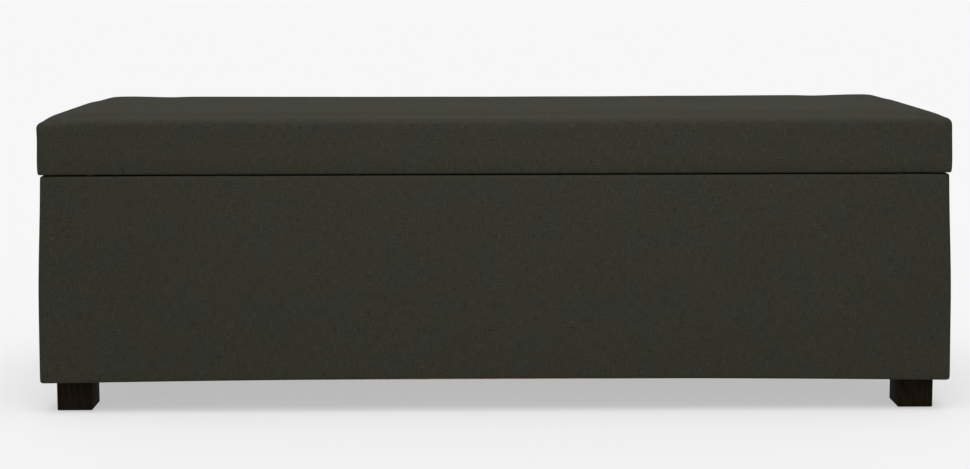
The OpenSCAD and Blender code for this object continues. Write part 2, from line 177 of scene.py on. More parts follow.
class NodeSheet:
    """A material's node tree, filled from top to bottom."""

    def __init__(self, tree: bpy.types.NodeTree) -> None:
        """Clears a tree for drawing on."""
        self.tree = tree
        tree.nodes.clear()

    def node(
        self,
        kind: str,
        settings: dict | None = None,
        sockets: dict | None = None,
        output: int | str = 0,
    ) -> Signal:
        """Adds one node.

        Args:
            kind: the node's type.
            settings: its properties, set before its sockets are touched.
            sockets: a value or a Signal for each named or numbered input.
            output: which of its outputs to return.

        Returns:
            The chosen output.
        """
        made = self.tree.nodes.new(kind)
        for name, value in (settings or {}).items():
            setattr(made, name, value)
        for key, value in (sockets or {}).items():
            if isinstance(value, Signal):
                self.tree.links.new(value.socket, made.inputs[key])
            else:
                made.inputs[key].default_value = value
        return Signal(self, made.outputs[output] if made.outputs else None)

    def solid(self) -> Signal:
        """Object coordinates, which are the frame's own."""
        return self.node("ShaderNodeTexCoord", output="Object")

    def cloth(self) -> Signal:
        """The cloth map: metres along the threads of the cut cloth."""
        return self.node("ShaderNodeUVMap", {"uv_map": CLOTH_MAP})

    def scaled(
        self, place: Signal, scale: Triple, shift: Triple = (0, 0, 0)
    ) -> Signal:
        """Coordinates stretched and moved by a Mapping node.

        Args:
            place: the coordinates.
            scale: what each is multiplied by.
            shift: what is added afterwards.

        Returns:
            The new coordinates.
        """
        return self.node(
            "ShaderNodeMapping",
            {"vector_type": "POINT"},
            {"Vector": place, "Location": shift, "Scale": scale},
        )

    def noise(self, place: Signal, scale: float = 1.0, detail: float = 2.0) -> Signal:
        """Soft noise around 0.5.

        Args:
            place: the coordinates.
            scale: patches for each unit of them.
            detail: how many finer layers it has.

        Returns:
            The noise's value.
        """
        return self.node(
            "ShaderNodeTexNoise",
            {"noise_dimensions": "3D"},
            {"Vector": place, "Scale": scale, "Detail": detail, "Roughness": 0.55},
        )

    def mixed(
        self, share: Signal, low: Triple | Signal, high: Triple | Signal
    ) -> Signal:
        """A colour between two others.

        Args:
            share: 0 for the low colour and 1 for the high one.
            low: the colour at 0.
            high: the colour at 1.

        Returns:
            The mixed colour.
        """
        ends = [x if isinstance(x, Signal) else (*x, 1.0) for x in (low, high)]
        return self.node(
            "ShaderNodeMix",
            {"data_type": "RGBA", "clamp_factor": True},
            {0: share, 6: ends[0], 7: ends[1]},
            output=2,
        )

    def lit(self, colour: Signal | Triple, gain: Signal) -> Signal:
        """A colour made lighter or darker by a factor."""
        kind, settings = "ShaderNodeVectorMath", {"operation": "SCALE"}
        return self.node(kind, settings, {0: colour, 3: gain})

    def relief(self, height: Signal, depth: float, strength: float = 1.0) -> Signal:
        """A bumped normal.

        Args:
            height: the relief, from 0 to 1.
            depth: metres between 0 and 1.
            strength: how much of it shows.

        Returns:
            The normal.
        """
        return self.node(
            "ShaderNodeBump",
            {},
            {"Strength": strength, "Distance": depth, "Height": height},
        )

    def finish(self, sockets: dict) -> None:
        """Ends the tree in a Principled surface with these sockets."""
        skin = self.node("ShaderNodeBsdfPrincipled", {}, sockets)
        self.node("ShaderNodeOutputMaterial", {}, {"Surface": skin})


# ---- Finishes ----


@dataclass(frozen=True)
class Finish:
    """A named surface finish."""

    name: str

    def draw(self, sheet: NodeSheet) -> None:
        """Draws the finish on an empty sheet."""
        raise NotImplementedError

    def material(self) -> bpy.types.Material:
        """The finish as a material, made the first time that it is asked for.

        Returns:
            The material.
        """
        found = bpy.data.materials.get(self.name)
        if found is None:
            found = bpy.data.materials.new(self.name)
            found.use_nodes = True
            self.draw(NodeSheet(found.node_tree))
        return found


@dataclass(frozen=True)
class WovenCloth(Finish):
    """Plain-woven cloth with slubs, drawn on its cloth map.

    Scales are patches for each metre; a slub's two are along and across its
    yarn. Each range runs from where an effect starts to where it is full.
    """

    colour: Triple = (0.05, 0.05, 0.04)
    warm: Triple = (0.05, 0.05, 0.04)
    fleck: Triple = (0.07, 0.07, 0.055)
    pitch: float = 0.0011
    slub: float = 0.16
    mottle: float = 0.10
    # How strongly the weave's height is painted into the colour: painted shade in its
    # hollows, painted highlight on its crowns.
    weave_shade: float = 0.45
    depth: float = 0.00035
    sheen: float = 0.15
    sway_scale: float = 60.0
    slub_scale: Pair = (75, 620)
    cloud_scale: float = 7.0
    patch_scale: float = 16.0
    yarn_scale: float = 900.0
    warp_thick: Pair = (0.59, 0.74)
    weft_thick: Pair = (0.58, 0.74)
    warp_thin: Pair = (0.42, 0.27)
    weft_thin: Pair = (0.43, 0.27)
    warm_range: Pair = (0.36, 0.54)
    fleck_range: Pair = (0.45, 0.75)
    # The weave height at which the painted weave shade neither darkens nor lightens.
    unshaded_height: float = 0.62
    fuzz: float = 0.35

    def threads(self, sheet: NodeSheet, place: Signal) -> Signal:
        """The relief of the weave.

        Args:
            sheet: the node sheet.
            place: the cloth map.

        Returns:
            The height of the uppermost yarn, from 0 to 1.
        """
        aside = sheet.scaled(place, (1, 1, 1), (3, 7, 1))
        sway = sheet.noise(place, self.sway_scale, 1.0) - 0.5
        waver = sheet.noise(aside, self.sway_scale, 1.0) - 0.5
        flat = sheet.node("ShaderNodeSeparateXYZ", {}, {0: place})
        turn = math.pi / self.pitch
        warp = ((flat + sway * (2.0 * self.pitch)) * turn).sine()
        weft = ((flat.output(1) + waver * (2.0 * self.pitch)) * turn).sine()
        over = (warp * weft).rise(-0.3, 0.3)
        return abs(warp) * over + abs(weft) * (1.0 - over)

    def slubs(self, sheet: NodeSheet, place: Signal) -> Signal:
        """Thick and thin places in the yarn.

        Args:
            sheet: the node sheet.
            place: the cloth map.

        Returns:
            How much lighter or darker each place is, around 0.
        """
        along, across = self.slub_scale
        long_way = sheet.noise(sheet.scaled(place, (along, across, 1)))
        cross_way = sheet.noise(sheet.scaled(place, (across, along, 1), (9, 4, 2)))
        light = long_way.rise(*self.warp_thick) + cross_way.rise(*self.weft_thick)
        dark = long_way.rise(*self.warp_thin) + cross_way.rise(*self.weft_thin)
        return light - dark

    def draw(self, sheet: NodeSheet) -> None:
        """Draws yarn colour, flecks, relief, painted shade in the weave's hollows and a
        soft sheen.

        Args:
            sheet: an empty node sheet.
        """
        place = sheet.cloth()
        height = self.threads(sheet, place)
        slubs = self.slubs(sheet, place)
        clouds = sheet.noise(place, self.cloud_scale, 3.0) - 0.5
        aside = sheet.scaled(place, (1, 1, 1), (5, 1, 8))
        yarn = sheet.noise(aside, self.yarn_scale, 1.0)
        # The first two terms paint shade into the hollows between threads and lighten
        # their crowns; the rest is the yarn's own tone.
        gain = (
            (1.0 - self.unshaded_height * self.weave_shade)
            + height * self.weave_shade
            + slubs * self.slub
            + clouds * self.mottle
            + (yarn - 0.5) * self.fuzz
        )
        aside = sheet.scaled(place, (1, 1, 1), (4, 2, 6))
        patches = sheet.noise(aside, self.patch_scale)
        dyed = sheet.mixed(patches.rise(*self.warm_range), self.colour, self.warm)
        tone = sheet.mixed(yarn.rise(*self.fleck_range), dyed, self.fleck)
        relief = height * 0.7 + slubs * 0.25 + yarn * 0.2
        sheet.finish(
            {
                "Base Color": sheet.lit(tone, gain),
                "Roughness": 0.96 - height * 0.12,
                "Specular IOR Level": 0.12,
                "Sheen Weight": self.sheen,
                "Sheen Roughness": 0.45,
                "Normal": sheet.relief(relief, self.depth, 0.8),
            }
        )


@dataclass(frozen=True)
class BondedCloth(Finish):
    """Thin non-woven cloth with pressed bond points, drawn on its cloth map."""

    colour: Triple = (0.012, 0.012, 0.013)
    fibre: Triple = (0.035, 0.035, 0.037)
    pitch: float = 0.0024
    depth: float = 0.0002
    fibre_scale: Pair = (350, 1700)
    crossed_scale: Pair = (300, 1500)
    cloud_scale: float = 25.0
    point_range: Pair = (0.55, 0.85)
    fibre_range: Pair = (0.4, 0.66)

    def draw(self, sheet: NodeSheet) -> None:
        """Draws matted fibres with rows of pressed points.

        Args:
            sheet: an empty node sheet.
        """
        place = sheet.cloth()
        flat = sheet.node("ShaderNodeSeparateXYZ", {}, {0: place})
        turn = math.pi / self.pitch
        sum_way = ((flat + flat.output(1)) * turn).sine()
        gap_way = ((flat - flat.output(1)) * turn).sine()
        pressed = (abs(sum_way) * abs(gap_way)).rise(*self.point_range)
        along, across = self.fibre_scale
        fibres = sheet.noise(sheet.scaled(place, (along, across, 1)), 1.0, 3.0)
        along, across = self.crossed_scale
        aside = sheet.scaled(place, (across, along, 1), (2, 5, 0))
        crossed = sheet.noise(aside, 1.0, 3.0)
        matted = fibres * 0.5 + crossed * 0.5
        clouds = sheet.noise(place, self.cloud_scale)
        tone = sheet.mixed(matted.rise(*self.fibre_range), self.colour, self.fibre)
        sheet.finish(
            {
                "Base Color": sheet.lit(tone, 0.7 + clouds * 0.6 - pressed * 0.25),
                "Roughness": 0.72 - pressed * 0.25 + clouds * 0.2,
                "Sheen Weight": 0.1,
                "Normal": sheet.relief(matted - pressed * 0.8, self.depth),
            }
        )


@dataclass(frozen=True)
class Timber(Finish):
    """Wood whose grain runs along one axis."""

    dark: Triple = (0.0035, 0.0024, 0.0014)
    light: Triple = (0.0105, 0.0072, 0.0042)
    grain: Axis = Axis.Z
    roughness: float = 0.42
    specular: float = 0.5
    pore_depth: float = 0.00025
    figure: Pair = (2.5, 14.0)
    fibre: Pair = (9, 420)
    pore: Pair = (30, 1500)
    rings: float = 42.0
    patch_scale: float = 20.0

    def draw(self, sheet: NodeSheet) -> None:
        """Draws growth lines, pores and worn patches.

        Args:
            sheet: an empty node sheet.
        """
        place = sheet.solid()
        run = self.grain.stretched
        bent = sheet.noise(sheet.scaled(place, run(*self.figure)))
        fine = sheet.noise(sheet.scaled(place, run(*self.fibre)), 1.0, 3.0)
        pores = sheet.noise(sheet.scaled(place, run(*self.pore)), 1.0, 1.0)
        lines = abs((bent * self.rings + fine * 2.4).sine())
        patches = sheet.noise(place, self.patch_scale)
        share = lines * 0.5 + fine.rise(0.35, 0.7) * 0.5
        pitted = pores.rise(0.42, 0.30)
        tone = sheet.mixed(share, self.dark, self.light)
        relief = share * 0.3 - pitted * 0.8
        sheet.finish(
            {
                "Base Color": sheet.lit(tone, 0.75 + patches * 0.5 - pitted * 0.35),
                "Roughness": self.roughness - 0.06 + patches * 0.14 + pitted * 0.25,
                "Specular IOR Level": self.specular,
                "Normal": sheet.relief(relief, self.pore_depth, 0.6),
            }
        )


@dataclass(frozen=True)
class PlatedSteel(Finish):
    """Plated steel, brushed or tumbled along one axis."""

    colour: Triple = (0.55, 0.55, 0.53)
    worn: Triple = (0.35, 0.35, 0.34)
    brushing: Axis = Axis.X
    roughness: float = 0.30
    depth: float = 0.00004
    brush: Pair = (40, 2600)
    patch_scale: float = 130.0
    mark_scale: float = 900.0

    def draw(self, sheet: NodeSheet) -> None:
        """Draws brushing, dull patches and small marks.

        Args:
            sheet: an empty node sheet.
        """
        place = sheet.solid()
        brushed = sheet.noise(
            sheet.scaled(place, self.brushing.stretched(*self.brush))
        )
        patches = sheet.noise(place, self.patch_scale, 3.0)
        marks = sheet.noise(place, self.mark_scale, 1.0).rise(0.62, 0.72)
        dull = patches.rise(0.48, 0.72) * 0.6 + marks * 0.4
        sheet.finish(
            {
                "Base Color": sheet.mixed(dull, self.colour, self.worn),
                "Metallic": 1.0,
                "Roughness": self.roughness + dull * 0.22 + (brushed - 0.5) * 0.2,
                "Normal": sheet.relief(brushed - marks * 0.5, self.depth, 0.7),
            }
        )


@dataclass(frozen=True)
class Moulded(Finish):
    """Moulded rubber or plastic with a fine spark-eroded grain."""

    colour: Triple = (0.02, 0.02, 0.02)
    scuffed: Triple = (0.06, 0.06, 0.06)
    roughness: float = 0.6
    grain_scale: float = 1400.0
    scuff_scale: float = 160.0
    depth: float = 0.00008

    def draw(self, sheet: NodeSheet) -> None:
        """Draws the mould's grain and light scuffs.

        Args:
            sheet: an empty node sheet.
        """
        place = sheet.solid()
        grain = sheet.noise(place, self.grain_scale)
        scuffs = sheet.noise(place, self.scuff_scale, 4.0).rise(0.55, 0.75)
        sheet.finish(
            {
                "Base Color": sheet.mixed(scuffs * 0.5, self.colour, self.scuffed),
                "Roughness": self.roughness + scuffs * 0.2 + (grain - 0.5) * 0.1,
                "Normal": sheet.relief(grain, self.depth, 0.5),
            }
        )


@dataclass(frozen=True)
class PaleFloor(Finish):
    """The studio's plain matt floor, lit from below so that shadows stay faint."""

    colour: Triple = (0.36, 0.36, 0.36)
    glow: float = 0.471

    def draw(self, sheet: NodeSheet) -> None:
        """Draws an even matt surface.

        Args:
            sheet: an empty node sheet.
        """
        sheet.finish(
            {
                "Base Color": (*self.colour, 1.0),
                "Roughness": 0.95,
                "Specular IOR Level": 0.0,
                "Emission Color": (1.0, 1.0, 1.0, 1.0),
                "Emission Strength": self.glow,
            }
        )


LINEN = WovenCloth(
    "charcoal_linen",
    colour=(0.0222, 0.0230, 0.0174),
    warm=(0.0230, 0.0230, 0.0147),
    fleck=(0.0352, 0.0352, 0.0240),
    slub=0.44,
    sheen=0.0,
)
LINING = WovenCloth(
    "lining_cotton",
    colour=(0.075, 0.073, 0.066),
    warm=(0.076, 0.072, 0.063),
    fleck=(0.10, 0.098, 0.09),
    pitch=0.0007,
    slub=0.05,
    mottle=0.08,
    # Painted weave shade, weaker than the linen's.
    weave_shade=0.3,
    depth=0.0002,
    sheen=0.08,
)
BACKING = BondedCloth("backing_cloth")
WENGE = Timber(
    "dark_stained_wood",
    dark=(0.0042, 0.0028, 0.0014),
    light=(0.0120, 0.0078, 0.0038),
    roughness=0.72,
    specular=0.04,
)
PANEL_LONG = Timber(
    "poplar_panel_long",
    dark=(0.34, 0.23, 0.13),
    light=(0.52, 0.38, 0.24),
    grain=Axis.X,
    roughness=0.7,
)
PANEL_CROSS = replace(PANEL_LONG, name="poplar_panel_cross", grain=Axis.Y)
BATTEN = Timber(
    "pine_batten",
    dark=(0.38, 0.22, 0.10),
    light=(0.60, 0.42, 0.23),
    grain=Axis.X,
    roughness=0.65,
)
POST = replace(BATTEN, name="pine_post", grain=Axis.Z)
ZINC = PlatedSteel("zinc_plating", colour=(0.62, 0.63, 0.64), roughness=0.34)
NICKEL = PlatedSteel("nickel_plating", colour=(0.66, 0.62, 0.55), roughness=0.22)
STAY_STEEL = PlatedSteel(
    "stay_zinc", colour=(0.56, 0.57, 0.58), brushing=Axis.Z, roughness=0.30
)
RUBBER = Moulded(
    "bumper_rubber_black",
    colour=(0.006, 0.006, 0.006),
    scuffed=(0.02, 0.02, 0.02),
    roughness=0.85,
)
GLIDE = Moulded(
    "glide_plastic_grey",
    colour=(0.10, 0.10, 0.10),
    scuffed=(0.18, 0.18, 0.17),
    roughness=0.45,
)
FLOOR = PaleFloor("pale_floor")


# ---- Mesh making ----


def block(bm: bmesh.types.BMesh, low: Vector, high: Vector) -> None:
    """Adds a box between two corners.

    Args:
        bm: the mesh.
        low: the lowest corner.
        high: the highest corner.
    """
    size = high - low
    place = Matrix.Translation((low + high) / 2) @ Matrix.Diagonal((*size, 1.0))
    bmesh.ops.create_cube(bm, size=1.0, matrix=place)


def rounded(
    bm: bmesh.types.BMesh,
    edges: list[bmesh.types.BMEdge],
    radius: float,
    segments: int,
) -> None:
    """Rounds edges.

    Args:
        bm: the mesh.
        edges: the edges to round.
        radius: the radius.
        segments: faces across each rounding.
    """
    bmesh.ops.bevel(
        bm,
        geom=edges,
        offset=radius,
        offset_type="OFFSET",
        segments=segments,
        profile=0.5,
        affect="EDGES",
        clamp_overlap=True,
        material=-1,
    )


def edges_where(bm: bmesh.types.BMesh, test: SpotTest) -> list[bmesh.types.BMEdge]:
    """Edges whose two ends both pass a test.

    Args:
        bm: the mesh.
        test: says whether a point counts.

    Returns:
        The edges.
    """
    return [e for e in bm.edges if all(test(v.co) for v in e.verts)]


def rim_edges(bm: bmesh.types.BMesh, height: float) -> list[bmesh.types.BMEdge]:
    """The edges that lie at one height."""
    return edges_where(bm, lambda p: abs(p.z - height) < 1e-5)


def upright_edges(bm: bmesh.types.BMesh) -> list[bmesh.types.BMEdge]:
    """The edges that run straight up."""
    ends = ((e, e.verts[0].co - e.verts[1].co) for e in bm.edges)
    return [e for e, run in ends if abs(run.normalized().z) > 0.999]


def flat_face(low: Vector, high: Vector) -> bmesh.types.BMesh:
    """A new mesh of one level face.

    Args:
        low: the corner that gives its height and its lower ends.
        high: the corner that gives its upper ends.

    Returns:
        The mesh.
    """
    bm = bmesh.new()
    size, middle = high - low, (low + high) / 2
    place = Matrix.Translation((middle.x, middle.y, low.z))
    stretch = Matrix.Diagonal((size.x, size.y, 1.0, 1.0))
    bmesh.ops.create_grid(
        bm, x_segments=1, y_segments=1, size=0.5, matrix=place @ stretch
    )
    return bm


def cut_across(bm: bmesh.types.BMesh, axis: Axis, places: Iterable[float]) -> None:
    """Cuts a mesh by planes across one axis.

    Args:
        bm: the mesh.
        axis: the planes' normal.
        places: where they stand on it.
    """
    normal = axis.direction()
    for place in places:
        bmesh.ops.bisect_plane(
            bm,
            geom=bm.verts[:] + bm.edges[:] + bm.faces[:],
            dist=1e-6,
            plane_co=normal * place,
            plane_no=normal,
        )


def spread(low: float, high: float, cell: float) -> list[float]:
    """Evenly spaced places strictly between two ends.

    Args:
        low: the lower end.
        high: the upper end.
        cell: the widest spacing.

    Returns:
        The places.
    """
    count = max(1, math.ceil((high - low) / cell))
    return [low + (high - low) * i / count for i in range(1, count)]


def line_cuts(reach: float, half_width: float) -> list[float]:
    """Places that cut a narrow line on both sides of the middle.

    Args:
        reach: from the middle to each line.
        half_width: from the line's centre to its edges.

    Returns:
        Three places for each line.
    """
    steps = (-half_width, 0.0, half_width)
    return [side * reach + step for side in (-1, 1) for step in steps]


def lay_cloth(
    bm: bmesh.types.BMesh, flat: Callable[[bmesh.types.BMFace, Vector], Pair]
) -> None:
    """Writes the cloth map.

    Args:
        bm: the mesh.
        flat: gives a point's place on the flat cloth, from its face and itself.
    """
    layer = bm.loops.layers.uv.new(CLOTH_MAP)
    for face in bm.faces:
        for loop in face.loops:
            loop[layer].uv = flat(face, loop.vert.co)


def fade(distance: float, reach: float) -> float:
    """1 at no distance, falling smoothly to 0 at the reach."""
    share = min(max(1.0 - abs(distance) / reach, 0.0), 1.0)
    return share * share * (3.0 - 2.0 * share)


def ripple(place: Vector, wave: float, seed: float = 0.0) -> float:
    """Smooth unevenness between -1 and 1.

    Args:
        place: where.
        wave: the usual distance between its swells.
        seed: picks another pattern.

    Returns:
        The unevenness there.
    """
    return noise.noise(place / wave + Vector((seed, 1.7 * seed, -seed)))


def levels(values: Iterable[float], gap: float = 1e-5) -> dict[float, int]:
    """Numbers the levels that values lie on, from the lowest up.

    Args:
        values: the values.
        gap: the least step between two levels.

    Returns:
        Each value's level.
    """
    found: dict[float, int] = {}
    level, last = 0, None
    for value in sorted(values):
        if last is not None and value - last > gap:
            level += 1
        found[value] = level
        last = value
    return found


def numbered(bm: bmesh.types.BMesh) -> bmesh.types.BMesh:
    """Numbers a mesh's points and faces by their places.

    Rounding and cutting number them in another order each time, and a cloth
    simulation's result hangs on that order.

    Args:
        bm: the mesh, which is freed.

    Returns:
        The same shape in a fixed order.
    """
    ranks = [levels(v.co[i] for v in bm.verts) for i in range(3)]
    order = sorted(bm.verts, key=lambda v: [r[c] for r, c in zip(ranks, v.co)])
    number = {vertex: i for i, vertex in enumerate(order)}
    steady = bmesh.new()
    points = [steady.verts.new(vertex.co) for vertex in order]
    rings = []
    for face in bm.faces:
        ring = [number[vertex] for vertex in face.verts]
        first = ring.index(min(ring))
        rings.append(ring[first:] + ring[:first])
    for ring in sorted(rings):
        steady.faces.new([points[i] for i in ring])
    bm.free()
    return steady


def make_piece(bm: bmesh.types.BMesh, name: str, finish: Finish) -> bpy.types.Object:
    """Turns a bmesh into a smooth-shaded object at the origin.

    Args:
        bm: the mesh, which is freed.
        name: the piece's name.
        finish: its finish.

    Returns:
        The object.
    """
    mesh = bpy.data.meshes.new(name)
    bm.normal_update()
    bm.to_mesh(mesh)
    bm.free()
    mesh.materials.append(finish.material())
    mesh.shade_smooth()
    piece = bpy.data.objects.new(name, mesh)
    bpy.context.scene.collection.objects.link(piece)
    return piece


def subdivided(piece: bpy.types.Object, levels: int = 1) -> None:
    """Adds a Subdivision Surface modifier, the same in view and render."""
    smoother = piece.modifiers.new("Smoothing", "SUBSURF")
    smoother.levels = smoother.render_levels = levels


def thickened(piece: bpy.types.Object, thickness: float) -> None:
    """Adds a Solidify modifier that grows behind the faces.

    Args:
        piece: the piece.
        thickness: the wall's thickness.
    """
    wall = piece.modifiers.new("Thickness", "SOLIDIFY")
    wall.thickness = thickness
    wall.offset = -1.0
    wall.use_even_offset = False


def installed(
    piece: bpy.types.Object, body: str, slot: str, *nodes: str
) -> bpy.types.Object:
    """Puts a finished piece on its body.

    Args:
        piece: the piece.
        body: the body that it rides on.
        slot: the record's material slot; not used.
        *nodes: the CAD nodes that it stands for.

    Returns:
        The piece.
    """
    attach(piece, body)
    if nodes:
        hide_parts(*nodes)
    log.info("%s: %d faces on %s", piece.name, len(piece.data.polygons), body)
    return piece


@dataclass(frozen=True)
class Filling:
    """Swells a closed cover by cloth simulation, and holds it to a limit."""

    pressure: float = 4.0
    limit: float = 0.005
    frames: int = 20
    stiffness: float = 12.0
    bending: float = 2.0
    mass: float = 0.25
    quality: int = 6
    give: float = 0.2
    stand_in: float = 0.9

    def swell(self, piece: bpy.types.Object, pinned: str) -> None:
        """Simulates the piece and keeps the result in its mesh.

        Args:
            piece: the closed cover.
            pinned: its vertex group that stays where it is.
        """
        cloth = piece.modifiers.new("Filling", "CLOTH")
        settings = cloth.settings
        settings.quality = self.quality
        settings.mass = self.mass
        settings.tension_stiffness = self.stiffness
        settings.compression_stiffness = self.stiffness
        settings.shear_stiffness = self.stiffness / 2
        settings.bending_stiffness = self.bending
        settings.use_pressure = True
        settings.uniform_pressure_force = self.pressure
        settings.effector_weights.gravity = 0.0
        settings.vertex_group_mass = pinned
        cloth.collision_settings.use_collision = False
        cloth.collision_settings.use_self_collision = False
        cloth.point_cache.frame_start = 1
        cloth.point_cache.frame_end = self.frames
        scene = bpy.context.scene
        for number in range(1, self.frames + 1):
            scene.frame_set(number)
        swollen = piece.evaluated_get(bpy.context.evaluated_depsgraph_get()).data
        vertices = piece.data.vertices
        moves = [m.co - v.co for v, m in zip(vertices, swollen.vertices)]
        inward = [m.dot(v.normal) < 0 for v, m in zip(vertices, moves)]
        piece.modifiers.remove(cloth)
        scene.frame_set(1)
        longest = max(m.length for m in moves)
        log.info("%s swelled up to %.1f mm, unheld", piece.name, longest * 1000)
        for vertex, move, sunk in zip(vertices, moves, inward):
            if move.length > 1e-9:
                held = self.limit * math.tanh(move.length / self.limit)
                share = self.give if sunk else 1.0
                vertex.co += move * (held / move.length * share)


# ---- Sub-assemblies ----


@dataclass
class LidCushion:
    """The lid's upholstery: cover, wadding and foam as one padded piece.

    droop gives each corner's fall and how far it spreads, keyed by the signs
    of its place on X and Y.
    """

    corner_radius: float = 0.0105
    top_radius: float = 0.0115
    under_radius: float = 0.0042
    cell: float = 0.012
    margin: float = 0.020
    side_slack: float = 0.0016
    end_slack: float = 0.0038
    top_slack: float = 0.0040
    held_height: float = 0.017
    filling: Filling = field(default_factory=lambda: Filling(limit=0.0068))
    droop: dict[tuple[int, int], Pair] = field(
        default_factory=lambda: {
            (-1, -1): (0.0052, 0.050),
            (1, -1): (0.0024, 0.050),
            (-1, 1): (0.0040, 0.055),
            (1, 1): (0.0030, 0.045),
        }
    )
    roll: float = 0.0030
    roll_height: float = 0.024
    roll_on_ends: float = 0.7
    corner_ease: float = 0.85
    corner_reach: float = 0.045
    hang: float = 0.0026
    hang_reach: float = 0.024
    hang_height: float = 0.016
    hang_on_ends: float = 1.3
    hinge_reach: float = 0.090
    peak: float = 0.0028
    peak_drop: float = 0.012
    peak_reach: float = 0.013
    tuck_inset: float = 0.013
    tuck_depth: float = 0.0016
    tuck_width: float = 0.003
    flap: float = 0.0006
    waviness: float = 0.0008

    def __post_init__(self) -> None:
        """Reads the space that the CAD cover holds."""
        self.low, self.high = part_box("lid_cover")

    def shell(self) -> bmesh.types.BMesh:
        """The unswollen cover.

        Returns:
            A closed box with rounded edges, cut into even cells.
        """
        bm = bmesh.new()
        low = self.low + Vector((self.end_slack, self.side_slack, 0.0))
        high = self.high - Vector((self.end_slack, self.side_slack, self.top_slack))
        block(bm, low, high)
        rounded(bm, upright_edges(bm), self.corner_radius, 4)
        rounded(bm, rim_edges(bm, high.z), self.top_radius, 4)
        rounded(bm, rim_edges(bm, low.z), self.under_radius, 3)
        left, right = low.x + self.margin, high.x - self.margin
        front, rear = low.y + self.margin, high.y - self.margin
        foot, top = low.z + self.under_radius, high.z - self.top_radius
        cut_across(bm, Axis.X, spread(left, right, self.cell))
        cut_across(bm, Axis.X, [left, right])
        cut_across(bm, Axis.Y, spread(front, rear, self.cell))
        cut_across(bm, Axis.Y, line_cuts(self.high.y - self.tuck_inset, 0.002))
        cut_across(bm, Axis.Z, spread(foot, top, self.cell))
        bmesh.ops.remove_doubles(bm, verts=bm.verts[:], dist=1e-5)
        return numbered(bm)

    def settle(self, vertex: bpy.types.MeshVertex) -> None:
        """Gives one point its corner droop, tucks and waviness.

        Args:
            vertex: the point.
        """
        p = vertex.co
        over = Vector((p.x, p.y, 0.0))
        height = (p.z - self.low.z) / (self.high.z - self.low.z)
        for (side, face), (fall, reach) in self.droop.items():
            corner = Vector((side * self.high.x, face * self.high.y, 0.0))
            away = (over - corner).length
            p.z -= fall * max(height, 0.0) * math.exp(-((away / reach) ** 2))
        rim = max(0.0, height) * (1.0 - fade(self.high.z - p.z, 0.08))
        p.z += self.waviness * 0.6 * ripple(over, 0.16, 2.0) * height
        if abs(p.y) > self.high.y - 0.008:
            out = math.copysign(1.0, p.y)
            p.y += out * self.waviness * 0.5 * ripple(p, 0.12, 5.0) * (0.4 + rim)
        if abs(p.x) > self.high.x - 0.01:
            self._tuck(p)
        self._hang(p)

    def _hang(self, p: Vector) -> None:
        """Rolls the lower edge in, and lets it hang a little at front and ends.

        Args:
            p: the point, which is moved.
        """
        gap_x, gap_y = self.high.x - abs(p.x), self.high.y - abs(p.y)
        at_corner = fade(max(gap_x, gap_y), self.corner_reach)
        full_roll = self.roll * (1.0 - self.corner_ease * at_corner)
        rolled = full_roll * fade(p.z - self.low.z, self.roll_height)
        if gap_y < 0.012:
            p.y -= math.copysign(rolled, p.y)
        if gap_x < 0.014:
            p.x -= math.copysign(rolled * self.roll_on_ends, p.x)
        away_from_hinges = 1.0 - fade(self.high.y - p.y, self.hinge_reach)
        low_down = fade(p.z - self.low.z, self.hang_height)
        along_ends = self.hang_on_ends * fade(gap_x, self.hang_reach)
        near_edge = max(fade(gap_y, self.hang_reach), along_ends)
        p.z -= self.hang * low_down * near_edge * away_from_hinges
        corner = Vector((self.low.x, self.low.y, self.high.z - self.peak_drop))
        p.x -= self.peak * math.exp(-(((p - corner).length / self.peak_reach) ** 2))

    def _tuck(self, p: Vector) -> None:
        """Presses the corner folds into the lid's two ends.

        Args:
            p: the point, which is moved.
        """
        rising = fade(p.z - self.low.z, (self.high.z - self.low.z) * 0.92)
        out = math.copysign(1.0, p.x)
        line = self.high.y - self.tuck_inset
        gap = abs(p.y) - line
        share = min(1.0, rising * 2.5)
        p.x -= out * self.tuck_depth * fade(gap, self.tuck_width) * share
        if gap > 0.001:
            p.x += out * self.flap * share

    def seat(self, vertex: bpy.types.MeshVertex) -> None:
        """Keeps one point above the underside and clear of the hinges.

        Args:
            vertex: the point.
        """
        p = vertex.co
        p.z = max(p.z, self.low.z - self.hang_on_ends * self.hang)
        p.y = min(p.y, self.high.y)

    def build(self) -> bpy.types.Object:
        """Makes, swells and settles the cushion.

        Returns:
            The padded piece.
        """
        piece = make_piece(self.shell(), "lid_cushion", LINEN)
        group = piece.vertex_groups.new(name="pinned")
        held = self.low.z + self.held_height
        under = [v.index for v in piece.data.vertices if v.co.z < held]
        group.add(under, 1.0, "REPLACE")
        self.filling.swell(piece, group.name)
        for vertex in piece.data.vertices:
            self.settle(vertex)
            self.seat(vertex)
        piece.vertex_groups.clear()
        self.map_cloth(piece)
        subdivided(piece)
        padding = ("lid_wadding", "lid_foam")
        installed(piece, "lid", "cover_fabric", "lid_cover", *padding)
        return piece

    def map_cloth(self, piece: bpy.types.Object) -> None:
        """Lays one cloth over the lid, down all four sides and under it.

        Args:
            piece: the cushion.
        """
        bm = bmesh.new()
        bm.from_mesh(piece.data)
        lay_cloth(bm, self._unfolded)
        bm.to_mesh(piece.data)
        bm.free()

    def _unfolded(self, face: bmesh.types.BMFace, p: Vector) -> Pair:
        """Where a point of a face lies on the flat cloth.

        Args:
            face: the point's face.
            p: the point.

        Returns:
            Its place on the cloth, in metres.
        """
        x, y, z = (abs(n) for n in face.normal)
        drop = self.high.z - p.z
        if x > max(y, z):
            return p.x + math.copysign(drop, p.x), p.y
        if y > z:
            return p.x, p.y + math.copysign(drop, p.y)
        return p.x, p.y


